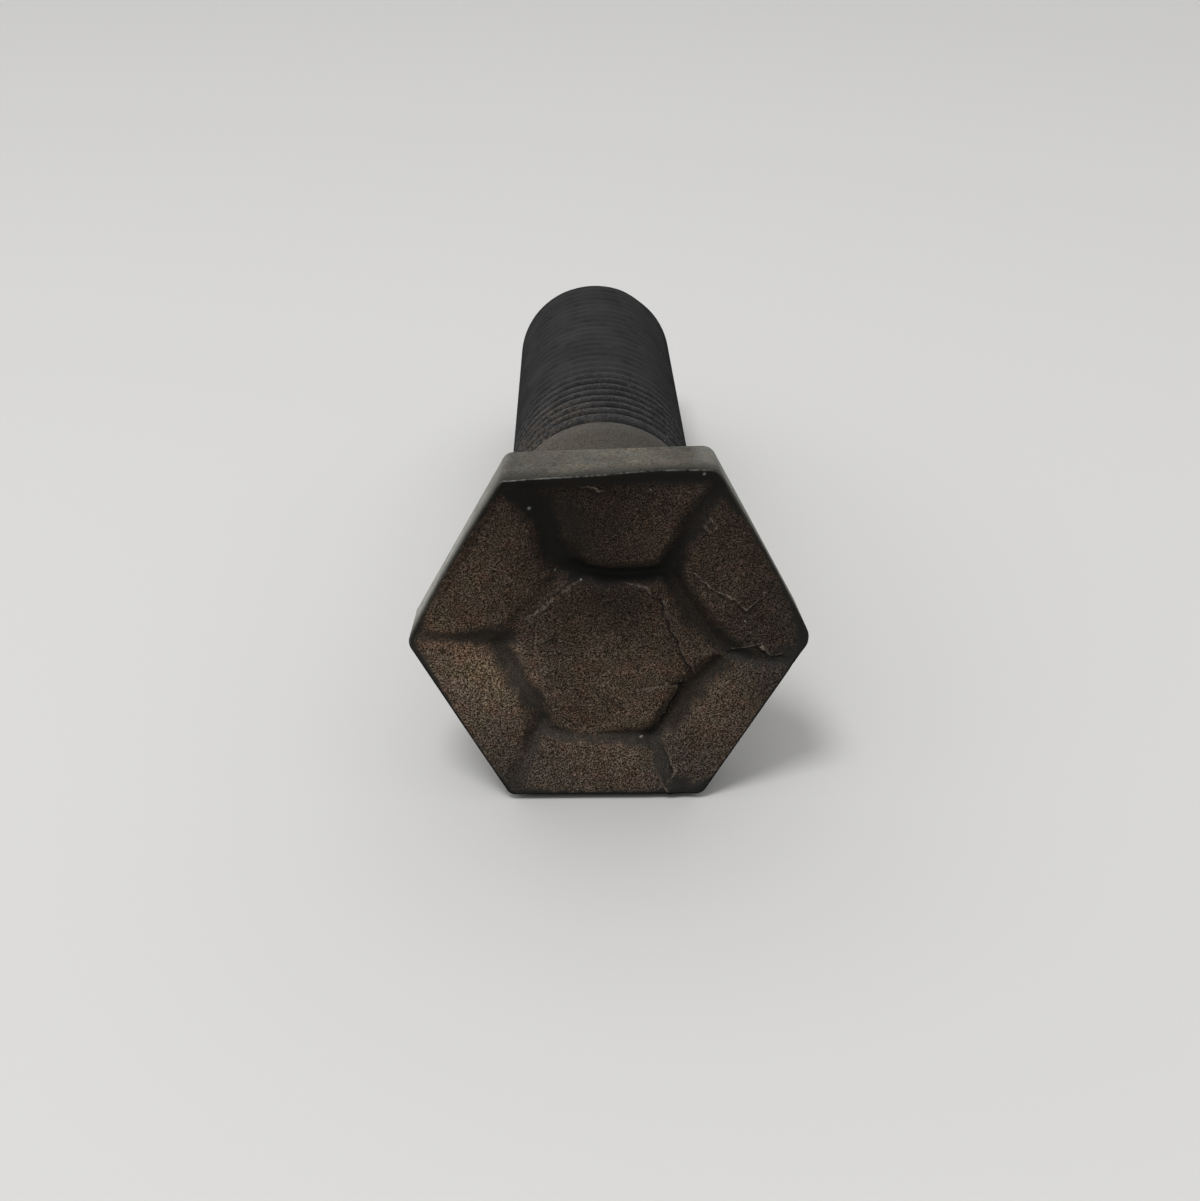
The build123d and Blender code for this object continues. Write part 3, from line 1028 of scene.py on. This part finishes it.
def put_finishes(bolt, finish):
    """Scale on all that was pressed, steel with painted sheen and painted light and shade on the
    rest of the head, black on the shank.
    """
    for made in (rusty_scale(finish), flats_with_painted_sheen(finish), blacked_steel(finish)):
        bolt.data.materials.append(made)
    mesh = bolt.data
    centres = np.zeros(len(mesh.polygons) * 3)
    mesh.polygons.foreach_get("center", centres)
    index = np.where(centres.reshape(-1, 3)[:, 2] < -SLACK, 2, 1)
    pressed = np.zeros(len(mesh.vertices), np.float32)
    mesh.attributes["pressed"].data.foreach_get("value", pressed)
    index[[all(pressed[v] for v in face.vertices) for face in mesh.polygons]] = 0
    mesh.polygons.foreach_set("material_index", index.astype(np.int32))
    mesh.update()


class BOLT_OT_make_bolt(bpy.types.Operator):
    """Model the bolt: blank, dished face, flats, neck and fine thread"""

    bl_idname = "bolt.make_bolt"
    bl_label = "Make Bolt"
    bl_options = {"REGISTER", "UNDO"}

    def execute(self, context):
        head, shank = context.scene.bolt_head, context.scene.bolt_shank
        bolt = blank(head, shank)
        shape(bolt, head, shank)
        put_finishes(bolt, context.scene.bolt_finish)
        deselect_all()
        bolt.select_set(True)
        context.view_layer.objects.active = bolt
        bpy.ops.object.shade_smooth_by_angle(angle=radians(42))
        bolt.matrix_world = bolt_place()
        bpy.ops.object.transform_apply(location=True, rotation=True, scale=True)
        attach(bolt, "root")
        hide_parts("hex_bolt")
        return {"FINISHED"}


def floor_material(studio):
    """Pale floor, seen at its full colour, that throws only half of its light on the bolt."""
    made, tree, shader = new_material("pale_floor")
    path = tree.nodes.new("ShaderNodeLightPath")
    straight = math_node(
        tree, "MAXIMUM", path.outputs["Is Camera Ray"], path.outputs["Is Glossy Ray"], clamp=True)
    colour = blend(tree, straight, scaled(studio.floor, 0.5), studio.floor)
    surface(tree, shader, colour, 0.8, 0.2)
    return made


def room_light(studio):
    """Soft light from above, from behind and from the left, with none low in front."""
    world = bpy.data.worlds.new("studio_room")
    world.use_nodes = True
    tree = world.node_tree
    background = tree.nodes["Background"]
    background.inputs["Color"].default_value = (1.0, 1.0, 1.0, 1.0)
    place = tree.nodes.new("ShaderNodeTexCoord")
    split = tree.nodes.new("ShaderNodeSeparateXYZ")
    tree.links.new(place.outputs["Generated"], split.inputs["Vector"])
    x, y, z = split.outputs
    above = times(tree, minus(tree, z, 0.35), 2.5)
    behind = times(tree, times(tree, y, 1.5), studio.behind, clamp=False)
    beside = times(tree, times(tree, x, -1.5), studio.beside)
    low = times(tree, minus(tree, 1.0, above), plus(tree, behind, beside), clamp=False)
    light = plus(tree, times(tree, above, studio.overhead), low)
    path = tree.nodes.new("ShaderNodeLightPath")
    seen = tree.nodes.new("ShaderNodeMix")
    tree.links.new(path.outputs["Is Camera Ray"], seen.inputs["Factor"])
    tree.links.new(light, seen.inputs["A"])
    seen.inputs["B"].default_value = BACKDROP
    tree.links.new(seen.outputs["Result"], background.inputs["Strength"])
    return world


class BOLT_OT_set_stage(bpy.types.Operator):
    """Set up the floor, the lamp, the soft room light and the camera"""

    bl_idname = "bolt.set_stage"
    bl_label = "Set Stage"
    bl_options = {"REGISTER", "UNDO"}

    def execute(self, context):
        scene, studio = context.scene, context.scene.bolt_studio
        low, _ = CAD_BOX
        deselect_all()
        bpy.ops.mesh.primitive_plane_add(size=FLOOR_WIDTH, location=(0, 0, low.z))
        floor = context.active_object
        floor.name = "studio_floor"
        floor.data.materials.append(floor_material(studio))
        face = bolt_place() @ Vector((0, 0, scene.bolt_head.height))
        self.hang_lamp(context, face)
        scene.world = room_light(studio)
        self.place_camera(context, face)
        scene.view_settings.view_transform = "Standard"
        return {"FINISHED"}

    def hang_lamp(self, context, face):
        deselect_all()
        offset = Vector(LAMP_PLACE)
        bpy.ops.object.light_add(type="AREA", location=face + offset)
        lamp = context.active_object
        lamp.name = "main_lamp"
        lamp.rotation_euler = (-offset).to_track_quat("-Z", "Y").to_euler()
        lamp.data.shape = "DISK"
        lamp.data.size = LAMP_WIDTH
        lamp.data.energy = LAMP_POWER

    def place_camera(self, context, face):
        studio = context.scene.bolt_studio
        azimuth, elevation, roll = studio.azimuth, studio.elevation, studio.roll
        back = Vector((sin(azimuth) * cos(elevation), -cos(azimuth) * cos(elevation),
                       sin(elevation)))
        right = (-back).cross(Vector((0, 0, 1))).normalized()
        up = right.cross(-back)
        right, up = right * cos(roll) + up * sin(roll), up * cos(roll) - right * sin(roll)
        bpy.ops.object.camera_add()
        camera = context.active_object
        camera.name = "studio_camera"
        turn = Matrix((right, up, back)).transposed().to_4x4()
        turn.translation = face + Vector(CAMERA_AIM) * MM + back * studio.distance
        camera.matrix_world = turn
        camera.data.lens = studio.lens
        camera.data.sensor_width = 36.0
        camera.data.clip_start = 0.001
        camera.data.clip_end = 20.0
        context.scene.camera = camera


SETTINGS = {"bolt_head": HeadSettings, "bolt_shank": ShankSettings,
            "bolt_finish": FinishSettings, "bolt_studio": StudioSettings}


class BOLT_PT_panel(bpy.types.Panel):
    """Everything that makes the bolt and its studio"""

    bl_label = "Forged Hex Bolt"
    bl_idname = "BOLT_PT_panel"
    bl_space_type = "VIEW_3D"
    bl_region_type = "UI"
    bl_category = "Bolt"

    def draw(self, context):
        for name, kind in SETTINGS.items():
            box = self.layout.box()
            box.label(text=name.removeprefix("bolt_").title())
            for value in kind.__annotations__:
                box.prop(getattr(context.scene, name), value)
        self.layout.operator("bolt.make_bolt")
        self.layout.operator("bolt.set_stage")


CLASSES = (*SETTINGS.values(), BOLT_OT_make_bolt, BOLT_OT_set_stage, BOLT_PT_panel)


def register():
    for kind in CLASSES:
        bpy.utils.register_class(kind)
    for name, kind in SETTINGS.items():
        setattr(bpy.types.Scene, name, PointerProperty(type=kind))


def unregister():
    for name in SETTINGS:
        delattr(bpy.types.Scene, name)
    for kind in reversed(CLASSES):
        bpy.utils.unregister_class(kind)


def main():
    register()
    bpy.ops.bolt.make_bolt()
    bpy.ops.bolt.set_stage()


if __name__ == "__main__":
    main()
